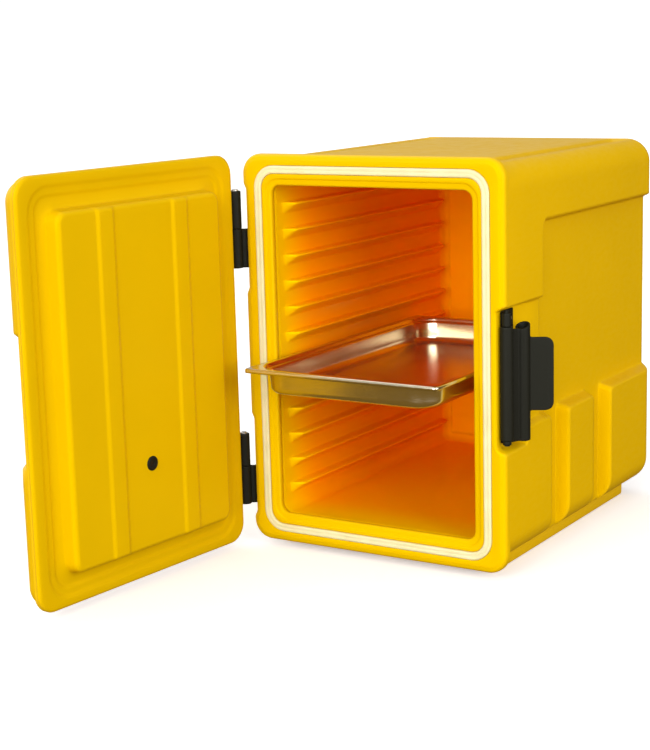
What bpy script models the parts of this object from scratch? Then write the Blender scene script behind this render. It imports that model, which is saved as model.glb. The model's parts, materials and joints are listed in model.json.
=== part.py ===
"""Insulated food carrier: a front-loading double-walled box with a hinged door and one pan.

Row frame: +X to the right, -Y to the front (the door side), +Z up.  The origin is the middle
of the centre skid's underside, so the carrier stands on Z = 0.  Lengths are in metres.
The door and the latch lever are drawn where they are when shut, then turned on their pivots.
"""
import math

import bmesh
import bpy
from mathutils import Matrix, Vector

# Overall form
WIDTH = 0.440
DEPTH = 0.576
FRAME_HEIGHT = 0.602
FRAME_BASE = 0.010          # underside of the front frame above the floor
FRAME_DEPTH = 0.014
GAP = 0.0003                # air between neighbouring pieces

LEFT, RIGHT = -WIDTH / 2, WIDTH / 2
FRONT, REAR = -DEPTH / 2, DEPTH / 2
FRAME_MID = FRAME_BASE + FRAME_HEIGHT / 2
CARCASS_FRONT = FRONT + FRAME_DEPTH + GAP
CARCASS_BOTTOM = FRAME_BASE + 0.015
CARCASS_TOP = FRAME_BASE + 0.594
CARCASS_RADIUS = 0.038
OUTER_WALL = 0.005
LINER_WALL = 0.003

# Front frame and seal
FRAME_RADIUS = 0.030
OPENING = (0.337, 0.508, 0.014)         # width, height, corner radius
GASKET = (0.394, 0.568, 0.034)
GASKET_WIDTH = 0.012
GASKET_GROOVE_DEPTH = 0.0055
GASKET_PROUD = 0.0017

# Cavity and its runners
CAVITY_WIDTH = 0.344
CAVITY_LOW, CAVITY_HIGH = FRAME_BASE + 0.044, FRAME_BASE + 0.558
CAVITY_REAR = FRONT + 0.5545
CAVITY_RADIUS = 0.016
RUNNER_COUNT = 12
RUNNER_PITCH = 0.040
TOP_RUNNER = FRAME_BASE + 0.526
RUNNER_REACH = 0.0195
RUNNER_ROOT, RUNNER_TIP = 0.017, 0.002
RUNNER_FRONT, RUNNER_REAR = FRONT + 0.035, FRONT + 0.538

# Sides, top and underside
RECESS_DEPTH = 0.020
CHANNEL_DEPTH = 0.0205
BAND = (0.209, 0.500, 0.389)            # low, high, and the front block's lower edge
BLOCK_REAR = 0.135                      # from the front plane
CHANNELS = ((0.165, 0.220), (0.325, 0.385))
SKID_SPREAD = 0.173
SKID_WIDTH = 0.024
GROOVE_WIDTH, GROOVE_DEPTH = 0.025, 0.003

# Door, drawn shut
DOOR_FLANGE = 0.011
DOOR_THICKNESS = 0.038
DOOR_SKIN = 0.0052          # the inner panel's share of the flange
DOOR_WALL = 0.004
BULGE_INSET = 0.006
BULGE_ROUNDING = 0.022
PLUG_HEIGHT = 0.0175
PLUG_WALL = 0.003
PLUG_DRAFT = 0.005
RIB_HEIGHT = 0.0025
RIB_SPREAD = 0.076
RIB_WIDTH = 0.030
DOOR_OPEN = math.radians(95.0)
VENT = (0.006, FRAME_BASE + 0.175)

# Hinges
HINGE_AXIS = (LEFT - 0.010, FRONT - 0.0045)
KNUCKLE_RADIUS = 0.009
PIN_RADIUS = 0.003
PIN_CLEARANCE = 0.00015
LEAF = 0.0036
HINGE_POCKET = 0.0047
HINGES = {"upper": (0.428, 0.4885, 0.546), "lower": (0.055, 0.1165, 0.168)}
HINGE_POCKETS = ((0.393, 0.553), (0.039, 0.197))

# Latch, drawn shut
LATCH_AXIS = (RIGHT - 0.0035, FRONT + 0.013)
LATCH_LOW, LATCH_HIGH = FRAME_BASE + 0.199, FRAME_BASE + 0.364      # the knuckle's ends
LATCH_KNUCKLE = 0.0095
WEB_LOW, WEB_HIGH = FRAME_BASE + 0.1935, FRAME_BASE + 0.358
TUBE_HIGH = FRAME_BASE + 0.366
TUBE_CENTRE = (RIGHT + 0.0046, FRONT - 0.0229)
TUBE_RADIUS, TUBE_BORE = 0.0107, 0.0077
FLAP_LOW, FLAP_HIGH = FRAME_BASE + 0.237, FRAME_BASE + 0.344
FLAP_REACH = 0.044
FLAP_ANGLE = math.radians(-126.7)
LATCH_OPEN = math.radians(154.7)
LATCH_NOTCH = 0.014
LATCH_BAY = 0.183           # the lower end of the room cut for the latch

# Gastronorm 1/1 pan
PAN_LENGTH, PAN_WIDTH = 0.530, 0.325
PAN_DEPTH = 0.040
PAN_SHEET = 0.0010
PAN_RUNNER = 6              # runners above the one it rests on
PAN_OUT = 0.096             # how far it stands out of the front at rest

PALETTE = {
    "yellow_shell": ((0.86, 0.52, 0.01), 0.42, 0.0),
    "yellow_frame": ((0.90, 0.62, 0.01), 0.40, 0.0),
    "foam": ((0.86, 0.80, 0.60), 0.90, 0.0),
    "cream_seal": ((0.92, 0.84, 0.58), 0.55, 0.0),
    "black_plastic": ((0.02, 0.02, 0.017), 0.50, 0.0),
    "steel": ((0.62, 0.60, 0.57), 0.28, 1.0),
}


def clear_scene():
    for item in list(bpy.data.objects):
        bpy.data.objects.remove(item, do_unlink=True)


def collection(name):
    group = bpy.data.collections.new(name)
    bpy.context.scene.collection.children.link(group)
    return group


def make_material(name):
    colour, roughness, metallic = PALETTE[name]
    material = bpy.data.materials.new(name)
    material.use_nodes = True
    shader = material.node_tree.nodes["Principled BSDF"]
    shader.inputs["Base Color"].default_value = (*colour, 1.0)
    shader.inputs["Roughness"].default_value = roughness
    shader.inputs["Metallic"].default_value = metallic
    material.diffuse_color = (*colour, 1.0)
    return material


clear_scene()
PARTS = collection("insulated_food_carrier")
CUTTERS = collection("cutters")
MATERIALS = {name: make_material(name) for name in PALETTE}


# ---------------------------------------------------------------- basic solids

def new_object(name, mesh, material=None):
    """A part when it has a material, otherwise a helper for a Boolean."""
    item = bpy.data.objects.new(name, mesh)
    if material:
        mesh.materials.append(MATERIALS[material])
        PARTS.objects.link(item)
    else:
        CUTTERS.objects.link(item)
        item.hide_render = True
        item.display_type = "WIRE"
    return item


def object_from_bmesh(name, shape, material=None):
    bmesh.ops.recalc_face_normals(shape, faces=shape.faces)
    mesh = bpy.data.meshes.new(name)
    shape.to_mesh(mesh)
    shape.free()
    return new_object(name, mesh, material)


def block(name, low, high, material=None, radius=0.0, round_front=True, steps=5):
    """A box between two corners; its edges are rounded, or all but those of the front face."""
    low, high = Vector(low), Vector(high)
    shape = bmesh.new()
    bmesh.ops.create_cube(shape, size=1.0)
    bmesh.ops.scale(shape, vec=high - low, verts=shape.verts)
    bmesh.ops.translate(shape, vec=(low + high) / 2, verts=shape.verts)
    if radius:
        edges = [e for e in shape.edges
                 if round_front or any(v.co.y > low.y + 1e-6 for v in e.verts)]
        bmesh.ops.bevel(shape, geom=edges, offset=radius, segments=steps, profile=0.5,
                        affect="EDGES", clamp_overlap=True)
    return object_from_bmesh(name, shape, material)


def cylinder(name, start, end, radius, material=None, sides=32):
    start, end = Vector(start), Vector(end)
    axis = end - start
    shape = bmesh.new()
    bmesh.ops.create_cone(shape, cap_ends=True, segments=sides, radius1=radius,
                          radius2=radius, depth=axis.length)
    turn = Vector((0, 0, 1)).rotation_difference(axis).to_matrix().to_4x4()
    bmesh.ops.transform(shape, matrix=Matrix.Translation((start + end) / 2) @ turn,
                        verts=shape.verts)
    return smooth(object_from_bmesh(name, shape, material))


def turned(name, profile, start, axis, material, sides=32):
    """A profile of (distance along the axis, radius) turned about the axis from start."""
    shape = bmesh.new()
    points = [shape.verts.new((radius, 0, along)) for along, radius in profile]
    edges = [shape.edges.new(pair) for pair in zip(points, points[1:])]
    bmesh.ops.spin(shape, geom=points + edges, cent=(0, 0, 0), axis=(0, 0, 1),
                   angle=math.tau, steps=sides, use_merge=True, use_duplicate=False)
    bmesh.ops.remove_doubles(shape, verts=shape.verts, dist=1e-6)
    turn = Vector((0, 0, 1)).rotation_difference(Vector(axis)).to_matrix().to_4x4()
    bmesh.ops.transform(shape, matrix=Matrix.Translation(start) @ turn, verts=shape.verts)
    return smooth(object_from_bmesh(name, shape, material))


def smooth(item):
    item.data.shade_smooth()
    item.data.set_sharp_from_angle(angle=math.radians(35))
    return item


def plate(name, outlines, thickness, placing, material=None, rounding=0.0):
    """A flat outline, with any holes as further outlines, made solid and then placed."""
    curve = bpy.data.curves.new(name, "CURVE")
    curve.dimensions = "2D"
    curve.fill_mode = "BOTH"
    curve.extrude = thickness / 2
    for outline in outlines:
        spline = curve.splines.new("POLY")
        spline.points.add(len(outline) - 1)
        for point, (x, y) in zip(spline.points, outline):
            point.co = (x, y, 0, 1)
        spline.use_cyclic_u = True
    drawing = bpy.data.objects.new(name + "_drawing", curve)
    CUTTERS.objects.link(drawing)
    view = bpy.context.evaluated_depsgraph_get()
    mesh = bpy.data.meshes.new_from_object(drawing.evaluated_get(view))
    bpy.data.objects.remove(drawing)
    mesh.materials.clear()
    shape = bmesh.new()
    shape.from_mesh(mesh)
    bmesh.ops.remove_doubles(shape, verts=shape.verts, dist=1e-6)
    if rounding:
        corners = [e for e in shape.edges if e.calc_face_angle(0) > math.radians(60)]
        bmesh.ops.bevel(shape, geom=corners, offset=rounding, segments=2, profile=0.5,
                        affect="EDGES", clamp_overlap=True)
    bmesh.ops.transform(shape, matrix=placing, verts=shape.verts)
    return smooth(object_from_bmesh(name, shape, material))


def facing_front(y_front, y_rear, z_centre=0.0):
    """Turns a plate's outline to (X, Z) and centres its thickness between two Y planes."""
    return (Matrix.Translation((0, (y_front + y_rear) / 2, z_centre))
            @ Matrix.Rotation(math.pi / 2, 4, "X"))


def facing_side(x_low, x_high):
    """Turns a plate's outline to (Y, Z) and centres its thickness between two X planes."""
    axes = Matrix(((0, 0, 1), (1, 0, 0), (0, 1, 0))).to_4x4()
    return Matrix.Translation(((x_low + x_high) / 2, 0, 0)) @ axes


def upright(z_low, z_high):
    """Keeps a plate's outline in (X, Y) and centres its thickness between two heights."""
    return Matrix.Translation((0, 0, (z_low + z_high) / 2))


def loft(name, rings, material=None):
    """Joins rings of equally many points, and closes the first and the last."""
    shape = bmesh.new()
    rows = [[shape.verts.new(point) for point in ring] for ring in rings]
    for lower, upper in zip(rows, rows[1:]):
        for i, vertex in enumerate(lower):
            j = (i + 1) % len(lower)
            shape.faces.new((vertex, lower[j], upper[j], upper[i]))
    shape.faces.new(rows[0][::-1])
    shape.faces.new(rows[-1])
    return object_from_bmesh(name, shape, material)


def combine(operation, target, *tools):
    for tool in tools:
        change = target.modifiers.new(operation.lower(), "BOOLEAN")
        change.operation = operation
        change.solver = "EXACT"
        change.object = tool
    return target


def cut(target, *tools):
    return combine("DIFFERENCE", target, *tools)


def join(target, *tools):
    return combine("UNION", target, *tools)


# ---------------------------------------------------------------- outlines

def arc(centre, radius, start, end, steps):
    """Points on an arc; the angles are in degrees."""
    turns = [math.radians(start + (end - start) * i / steps) for i in range(steps + 1)]
    return [(centre[0] + radius * math.cos(t), centre[1] + radius * math.sin(t)) for t in turns]


def rounded(width, height, radius, steps=6):
    """A rectangle about the origin with round corners, anticlockwise."""
    x, y = width / 2 - radius, height / 2 - radius
    corners = (((x, y), 0), ((-x, y), 90), ((-x, -y), 180), ((x, -y), 270))
    points = []
    for centre, start in corners:
        points += arc(centre, radius, start, start + 90, steps)
    return points


def offset(outline, distance):
    """Moves every edge of an anticlockwise outline outwards by the distance."""
    moved = []
    count = len(outline)
    for i, point in enumerate(outline):
        before = Vector(outline[i - 1])
        here = Vector(point)
        after = Vector(outline[(i + 1) % count])
        first, second = (here - before).normalized(), (after - here).normalized()
        normals = Vector((first.y, -first.x)) + Vector((second.y, -second.x))
        reach = distance * 2 / normals.length_squared
        moved.append(tuple(here + normals * reach))
    return moved


def strip(path, thickness):
    """The outline of a bent strip of even thickness about a path."""
    sides = []
    for side in (1, -1):
        edge = []
        for i, point in enumerate(path):
            before = Vector(path[max(i - 1, 0)])
            here = Vector(point)
            after = Vector(path[min(i + 1, len(path) - 1)])
            first = (here - before).normalized() if i else (after - here).normalized()
            second = (after - here).normalized() if i < len(path) - 1 else first
            normals = Vector((first.y, -first.x)) + Vector((second.y, -second.x))
            reach = side * thickness / normals.length_squared
            edge.append(tuple(here + normals * reach))
        sides.append(edge)
    return sides[0] + sides[1][::-1]


# ---------------------------------------------------------------- carcass

def side_recess(latch_side):
    """The sunk band of a side as (Y, Z): tall behind the front block, dipping for the latch."""
    low, high, block_low = BAND
    past = DEPTH + 0.05
    points = [(past, high), (BLOCK_REAR, high), (BLOCK_REAR, block_low), (-0.05, block_low)]
    points += [(-0.05, LATCH_BAY), (0.075, LATCH_BAY), (0.075, low)] if latch_side else [(-0.05, low)]
    points.append((past, low))
    return [(FRONT + y, FRAME_BASE + z) for y, z in points]


def carcass_block(name, inset, front, material=None):
    """The carcass's outer form, drawn in by the inset on every side but the front."""
    form = block(name, (LEFT + inset, front, CARCASS_BOTTOM + inset),
                 (RIGHT - inset, REAR - inset, CARCASS_TOP - inset), material,
                 radius=CARCASS_RADIUS - inset, round_front=False)
    for side in (-1, 1):
        outline = offset(side_recess(side > 0), inset)
        edges = sorted((side * (RIGHT - RECESS_DEPTH - inset), side * (RIGHT + 0.05)))
        cut(form, plate(f"{name}_recess_{side}", [outline], edges[1] - edges[0],
                        facing_side(*edges)))
        edges = sorted((side * (RIGHT - CHANNEL_DEPTH - inset), side * (RIGHT + 0.05)))
        for low, high in CHANNELS:
            cut(form, block(f"{name}_channel_{side}_{low}",
                            (edges[0], FRONT + low - inset, FRAME_BASE - 0.05),
                            (edges[1], FRONT + high + inset, FRAME_BASE + BAND[0] + 0.010)))
        x = side * SKID_SPREAD
        half = GROOVE_WIDTH / 2 + inset
        cut(form, block(f"{name}_groove_{side}",
                        (x - half, FRONT + 0.030 - inset, CARCASS_TOP - GROOVE_DEPTH - inset),
                        (x + half, REAR - 0.045 + inset, CARCASS_TOP + 0.05)))
    for low, high in HINGE_POCKETS:
        cut(form, hinge_pocket(f"{name}_hinge_pocket_{low}", low, high, inset))
    return form


def hinge_pocket(name, low, high, inset=0.0):
    return block(name, (LEFT - 0.02, FRONT - 0.03, FRAME_BASE + low - inset),
                 (LEFT + HINGE_POCKET + inset, FRONT + 0.060 + inset, FRAME_BASE + high + inset))


def liner_block(name, grow, front, material=None):
    half = CAVITY_WIDTH / 2 + grow
    return block(name, (-half, front, CAVITY_LOW - grow),
                 (half, CAVITY_REAR + grow, CAVITY_HIGH + grow), material,
                 radius=CAVITY_RADIUS + grow, round_front=False, steps=4)


def build_outer_shell():
    shell = carcass_block("outer_shell", 0.0, CARCASS_FRONT, "yellow_shell")
    for name, x in (("left", -SKID_SPREAD), ("centre", 0.0), ("right", SKID_SPREAD)):
        skid = block(f"skid_{name}", (x - SKID_WIDTH / 2, FRONT + 0.030, 0.0),
                     (x + SKID_WIDTH / 2, REAR - 0.045, CARCASS_BOTTOM + 0.002))
        join(shell, skid)
    cut(shell, carcass_block("shell_hollow", OUTER_WALL, CARCASS_FRONT - 0.01))
    return shell


def build_insulation():
    foam = carcass_block("insulation", OUTER_WALL + GAP, CARCASS_FRONT, "foam")
    return cut(foam, liner_block("insulation_hollow", LINER_WALL + GAP, CARCASS_FRONT - 0.01))


def build_inner_liner():
    liner = liner_block("inner_liner", LINER_WALL, CARCASS_FRONT, "yellow_shell")
    return cut(liner, liner_block("cavity", 0.0, CARCASS_FRONT - 0.01))


def build_runners():
    """The ledges of both walls, each a bar of tapered section."""
    for name, side in (("left", -1), ("right", 1)):
        wall = side * (CAVITY_WIDTH / 2 - GAP)
        tip = side * (CAVITY_WIDTH / 2 - RUNNER_REACH)
        for step in range(RUNNER_COUNT):
            top = TOP_RUNNER - step * RUNNER_PITCH
            section = ((wall, top), (tip, top), (tip, top - RUNNER_TIP), (wall, top - RUNNER_ROOT))
            loft(f"runner_{name}_{step + 1}",
                 [[(x, y, z) for x, z in section] for y in (RUNNER_FRONT, RUNNER_REAR)],
                 "yellow_shell")


def ring(outer, width):
    """A band inside a rounded rectangle: its outer and its inner outline."""
    w, h, r = outer
    return [rounded(w, h, r), rounded(w - 2 * width, h - 2 * width, r - width)]


def build_front_frame():
    outlines = [rounded(WIDTH, FRAME_HEIGHT, FRAME_RADIUS), rounded(*OPENING)]
    frame = plate("front_frame", outlines, FRAME_DEPTH,
                  facing_front(FRONT, FRONT + FRAME_DEPTH, FRAME_MID), "yellow_frame", 0.002)
    w, h, r = GASKET
    groove = ring((w + 2 * GAP, h + 2 * GAP, r + GAP), GASKET_WIDTH + 2 * GAP)
    y = FRONT + GASKET_GROOVE_DEPTH
    cut(frame, plate("gasket_groove", groove, GASKET_GROOVE_DEPTH + 0.005,
                     facing_front(FRONT - 0.005, y, FRAME_MID)))
    cut(frame, block("latch_notch", (RIGHT - LATCH_NOTCH, FRONT - 0.01, FRAME_BASE + LATCH_BAY),
                     (RIGHT + 0.01, CARCASS_FRONT + 0.001, FRAME_BASE + 0.389)))
    for low, high in HINGE_POCKETS:
        cut(frame, hinge_pocket(f"frame_hinge_pocket_{low}", low, high))
    return frame


def build_gasket():
    plate("door_gasket", ring(GASKET, GASKET_WIDTH), GASKET_GROOVE_DEPTH + GASKET_PROUD - GAP,
          facing_front(FRONT - GASKET_PROUD, FRONT + GASKET_GROOVE_DEPTH - GAP, FRAME_MID),
          "cream_seal", 0.0025)


# ---------------------------------------------------------------- door, drawn shut

def bulge_outline(inset):
    """The door's raised field as (X, Z), with the step at the free edge where the latch grips."""
    x, z = WIDTH / 2 - BULGE_INSET, FRAME_HEIGHT / 2 - BULGE_INSET
    radius, depth, slope = 0.030, 0.012, 0.010
    low, high = 0.212 - FRAME_HEIGHT / 2, 0.384 - FRAME_HEIGHT / 2
    points = arc((x - radius, -z + radius), radius, 270, 360, 6)
    points += [(x, low - slope), (x - depth, low + slope / 2),
               (x - depth, high - slope / 2), (x, high + slope)]
    points += arc((x - radius, z - radius), radius, 0, 90, 6)
    points += arc((-x + radius, z - radius), radius, 90, 180, 6)
    points += arc((-x + radius, -z + radius), radius, 180, 270, 6)
    return offset(points, -inset)


def bulge(name, inset, y_inner, material=None):
    """The raised field as a solid from y_inner out to its rounded face."""
    face = FRONT - GAP - DOOR_THICKNESS + inset
    radius = BULGE_ROUNDING - inset
    rings = [(y_inner, 0.0)]
    for i in range(6):
        turn = math.radians(90 * i / 5)
        rings.append((face + radius * (1 - math.sin(turn)), radius * (1 - math.cos(turn))))
    return loft(name, [[(x, y, FRAME_MID + z) for x, z in bulge_outline(inset + drawn)]
                       for y, drawn in rings], material)


def plug(name, inset, y_outer):
    """The tapered plug that fills the opening, from y_outer in to its flat face."""
    w, h, r = OPENING
    clear = 0.0015 + inset
    top = FRONT - GAP + PLUG_HEIGHT - inset
    sections = ((y_outer, clear), (FRONT - GAP, clear), (top - 0.003, clear + PLUG_DRAFT),
                (top, clear + PLUG_DRAFT + 0.003))
    return loft(name, [[(x, y, FRAME_MID + z)
                        for x, z in rounded(w - 2 * d, h - 2 * d, max(r + 0.004 - inset, 0.004))]
                       for y, d in sections])


def rib(side):
    """A vertical stiffening rib on the plug's face, with sloping flanks."""
    top = FRONT - GAP + PLUG_HEIGHT
    w, h, _ = OPENING
    sections = ((top - 0.001, 0.0), (top + RIB_HEIGHT, 0.004))
    length = h - 0.034
    return loft(f"rib_{side}", [[(side * RIB_SPREAD + x, y, FRAME_MID + z)
                                 for x, z in rounded(RIB_WIDTH - 2 * d, length - 2 * d, 0.006, 2)]
                                for y, d in sections])


def build_door_shells():
    flange_outer = FRONT - GAP - DOOR_FLANGE
    split = FRONT - GAP - DOOR_SKIN
    outline = [rounded(WIDTH, FRAME_HEIGHT, FRAME_RADIUS)]
    outer = bulge("door_outer_shell", 0.0, flange_outer + 0.001, "yellow_shell")
    join(outer, plate("door_flange", outline, split - GAP - flange_outer,
                      facing_front(flange_outer, split - GAP, FRAME_MID)))
    cut(outer, bulge("door_hollow", DOOR_WALL, split + 0.005))

    inner = plate("door_inner_panel", outline, DOOR_SKIN,
                  facing_front(split, FRONT - GAP, FRAME_MID), "yellow_frame")
    join(inner, plug("plug_solid", 0.0, split + 0.001), rib(-1), rib(1))
    cut(inner, plug("plug_hollow", PLUG_WALL, split - 0.005))
    band = ring((GASKET[0] + 0.004, GASKET[1] + 0.006, GASKET[2]), GASKET_WIDTH + 0.004)
    seat = FRONT - GASKET_PROUD - GAP
    cut(inner, plate("gasket_seat", band, 0.006, facing_front(seat, seat + 0.006, FRAME_MID)))

    foam = bulge("door_insulation", DOOR_WALL + GAP, split - GAP, "foam")
    join(foam, plug("foam_plug", PLUG_WALL + GAP, split - 0.002))
    return outer, inner, foam


def build_vent(outer, inner, foam):
    """A pressure vent through the door: a tube with an inner disc, and a cap outside."""
    x, z = VENT
    inside = FRONT - GAP + PLUG_HEIGHT
    outside = FRONT - GAP - DOOR_THICKNESS
    bore = cylinder("vent_hole", (x, outside - 0.01, z), (x, inside + 0.01, z), 0.0050)
    cut(outer, bore)
    cut(inner, bore)
    cut(foam, bore)
    length = inside - outside
    turned("vent_plug",
           [(-0.0024, 0.0022), (-0.0024, 0.0094), (-0.0010, 0.0110), (-GAP, 0.0110),
            (-GAP, 0.0046), (length + 0.0012, 0.0046), (length + 0.0012, 0.0022),
            (-0.0024, 0.0022)],
           (x, inside, z), (0, -1, 0), "black_plastic")
    turned("vent_cap",
           [(0.0, 0.0), (0.0, 0.0120), (0.0022, 0.0120), (0.0034, 0.0105), (0.0034, 0.0)],
           (x, outside - 0.0015, z), (0, -1, 0), "black_plastic")


# ---------------------------------------------------------------- hinges

def door_leaf_path(extra=0.0):
    """From the knuckle round the door's edge and along its outer face."""
    centre = (LEFT + BULGE_INSET + BULGE_ROUNDING, FRONT - GAP - DOOR_THICKNESS + BULGE_ROUNDING)
    radius = BULGE_ROUNDING - GAP
    bend = arc(centre, radius, 180, 270, 6)
    return [(LEFT + 0.003, FRONT - 0.0139)] + bend + [(LEFT + 0.051 + extra, bend[-1][1])]


def build_hinge(name, low, split, high, shell, frame):
    """The body's half: a leaf in the side pocket, its knuckle and the pin."""
    low, split, high = (FRAME_BASE + z for z in (low, split, high))
    x, y = HINGE_AXIS
    path = [(x, y + 0.0072), (LEFT - 0.001, FRONT + 0.0042),
            (LEFT + 0.0026, FRONT + 0.0080), (LEFT + 0.0026, FRONT + 0.052)]
    leaf = plate(f"hinge_leaf_{name}", [strip(path, LEAF)], split - GAP - low,
                 upright(low, split - GAP), "black_plastic")
    join(leaf, cylinder(f"body_knuckle_{name}", (x, y, low), (x, y, split - GAP),
                        KNUCKLE_RADIUS))
    bore = cylinder(f"body_bore_{name}", (x, y, low - 0.01), (x, y, split + 0.01),
                    PIN_RADIUS + PIN_CLEARANCE, sides=24)
    cut(leaf, bore)
    turned(f"hinge_pin_{name}",
           [(0.0, 0.0), (0.0, PIN_RADIUS), (high - low + GAP, PIN_RADIUS),
            (high - low + GAP, 0.0050), (high - low + 0.0020, 0.0050),
            (high - low + 0.0028, 0.0040), (high - low + 0.0028, 0.0)],
           (x, y, low), (0, 0, 1), "steel", sides=24)
    for number, height in enumerate((low + 0.014, split - 0.014), 1):
        screw(f"hinge_screw_{name}_{number}", (LEFT + 0.0008, FRONT + 0.040, height),
              (1, 0, 0), leaf, shell)
    cut(frame, plate(f"leaf_clearance_{name}", [strip(path, LEAF + 0.001)], split - low + 0.001,
                     upright(low - 0.0005, split + 0.0005)))


def build_door_leaf(name, low, split, high, outer):
    low, split, high = (FRAME_BASE + z for z in (low, split, high))
    x, y = HINGE_AXIS
    leaf = plate(f"door_leaf_{name}", [strip(door_leaf_path(), LEAF)], high - low,
                 upright(low, high), "black_plastic")
    arm = plate(f"door_arm_{name}", [strip([(x, y - 0.0071), door_leaf_path()[0],
                                            door_leaf_path()[1]], LEAF)],
                high - split, upright(split, high))
    knuckle = cylinder(f"door_knuckle_{name}", (x, y, split), (x, y, high), KNUCKLE_RADIUS)
    bore = cylinder(f"door_bore_{name}", (x, y, split - 0.01), (x, y, high + 0.01),
                    PIN_RADIUS + PIN_CLEARANCE, sides=24)
    join(leaf, arm, knuckle)
    cut(leaf, bore)
    seat = plate(f"leaf_seat_{name}", [strip(door_leaf_path(0.0005), LEAF + 2 * GAP)],
                 high - low + 0.001, upright(low - 0.0005, high + 0.0005))
    cut(outer, seat)
    face = door_leaf_path()[-1][1] - LEAF / 2
    for number, height in enumerate((low + 0.020, high - 0.020), 1):
        screw(f"door_screw_{name}_{number}", (LEFT + 0.040, face, height), (0, 1, 0), leaf, outer)


def screw(name, head, axis, leaf, wall):
    """A raised countersunk screw and its holes; head is the middle of the head's seat."""
    axis = Vector(axis)
    head = Vector(head)
    turned(name, [(-0.0006, 0.0), (-0.0006, 0.0030), (0.0, 0.0038), (0.0020, 0.0020),
                  (0.0058, 0.0020), (0.0058, 0.0)], head, axis, "steel", sides=20)
    tool = turned(name + "_sink", [(-0.0040, 0.0), (-0.0040, 0.0042), (0.0, 0.0042),
                                   (0.0022, 0.0023), (0.0120, 0.0023), (0.0120, 0.0)],
                  head, axis, None, sides=20)
    cut(leaf, tool)
    cut(wall, tool)


# ---------------------------------------------------------------- latch

def build_latch_base(shell):
    """A bracket on the sunk side: a back plate, and a lug at each end for the rod."""
    x, y = LATCH_AXIS
    floor = RIGHT - RECESS_DEPTH + GAP
    low, high = LATCH_LOW - 0.0065, FRAME_BASE + 0.384
    base = block("latch_base", (floor, CARCASS_FRONT + 0.002, low),
                 (floor + 0.0035, FRONT + 0.062, high), "black_plastic", radius=0.001, steps=1)
    lug = [(floor + 0.001, y + 0.009), (floor + 0.001, y + 0.0043)]
    lug += arc((x, y), 0.0065, 138, 400, 16) + [(x - 0.001, y + 0.009)]
    step = 0.0004
    for end, z_low, z_high in (("low", low + step, LATCH_LOW - GAP),
                               ("high", LATCH_HIGH + GAP, high - step)):
        join(base, plate(f"lug_{end}", [lug], z_high - z_low, upright(z_low, z_high)))
    cut(base, cylinder("rod_bore", (x, y, low - 0.01), (x, y, high + 0.01),
                       PIN_RADIUS + PIN_CLEARANCE, sides=24))
    turned("latch_rod", [(-0.0012, 0.0), (-0.0012, 0.0040), (-GAP, 0.0040), (-GAP, PIN_RADIUS),
                         (high - low + 0.004, PIN_RADIUS), (high - low + 0.004, 0.0)],
           (x, y, low), (0, 0, 1), "steel", sides=24)
    for number, height in enumerate((low + 0.014, (low + high) / 2, high - 0.014), 1):
        screw(f"latch_screw_{number}", (floor + 0.0035, FRONT + 0.052, height),
              (-1, 0, 0), base, shell)


def build_latch_lever():
    """Drawn shut: a knuckle on the rod, a web past the door's edge, a tube and a grip."""
    x, y = LATCH_AXIS
    web_x = RIGHT + 0.0033
    web = strip([(x + 0.002, y), (web_x, y - 0.0045), (web_x, TUBE_CENTRE[1])], 0.0046)
    lever = plate("latch_lever", [web], WEB_HIGH - WEB_LOW, upright(WEB_LOW, WEB_HIGH),
                  "black_plastic")
    cut(lever, cylinder("lever_clearance", (x, y, WEB_LOW - 0.01), (x, y, LATCH_LOW + 0.0001),
                        LATCH_KNUCKLE + 0.003))
    join(lever, cylinder("lever_knuckle", (x, y, LATCH_LOW), (x, y, LATCH_HIGH), LATCH_KNUCKLE))
    join(lever, cylinder("lever_tube", (*TUBE_CENTRE, WEB_LOW), (*TUBE_CENTRE, TUBE_HIGH),
                         TUBE_RADIUS))
    height = FLAP_HIGH - FLAP_LOW
    corners = arc((FLAP_REACH - 0.012, height / 2 - 0.012), 0.012, 90, 0, 5)
    corners += arc((FLAP_REACH - 0.012, 0.012 - height / 2), 0.012, 0, -90, 5)
    outline = [(0.009, -height / 2), (0.009, height / 2)] + corners
    placing = (Matrix.Translation((*TUBE_CENTRE, (FLAP_LOW + FLAP_HIGH) / 2))
               @ Matrix.Rotation(FLAP_ANGLE, 4, "Z") @ Matrix.Rotation(math.pi / 2, 4, "X"))
    join(lever, plate("lever_grip", [outline], 0.005, placing))
    cut(lever, cylinder("lever_bore", (x, y, LATCH_LOW - 0.01), (x, y, LATCH_HIGH + 0.01),
                        PIN_RADIUS + PIN_CLEARANCE, sides=24))
    cut(lever, cylinder("lever_hollow", (*TUBE_CENTRE, WEB_LOW - 0.01),
                        (*TUBE_CENTRE, TUBE_HIGH + 0.01), TUBE_BORE))


# ---------------------------------------------------------------- pan

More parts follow.
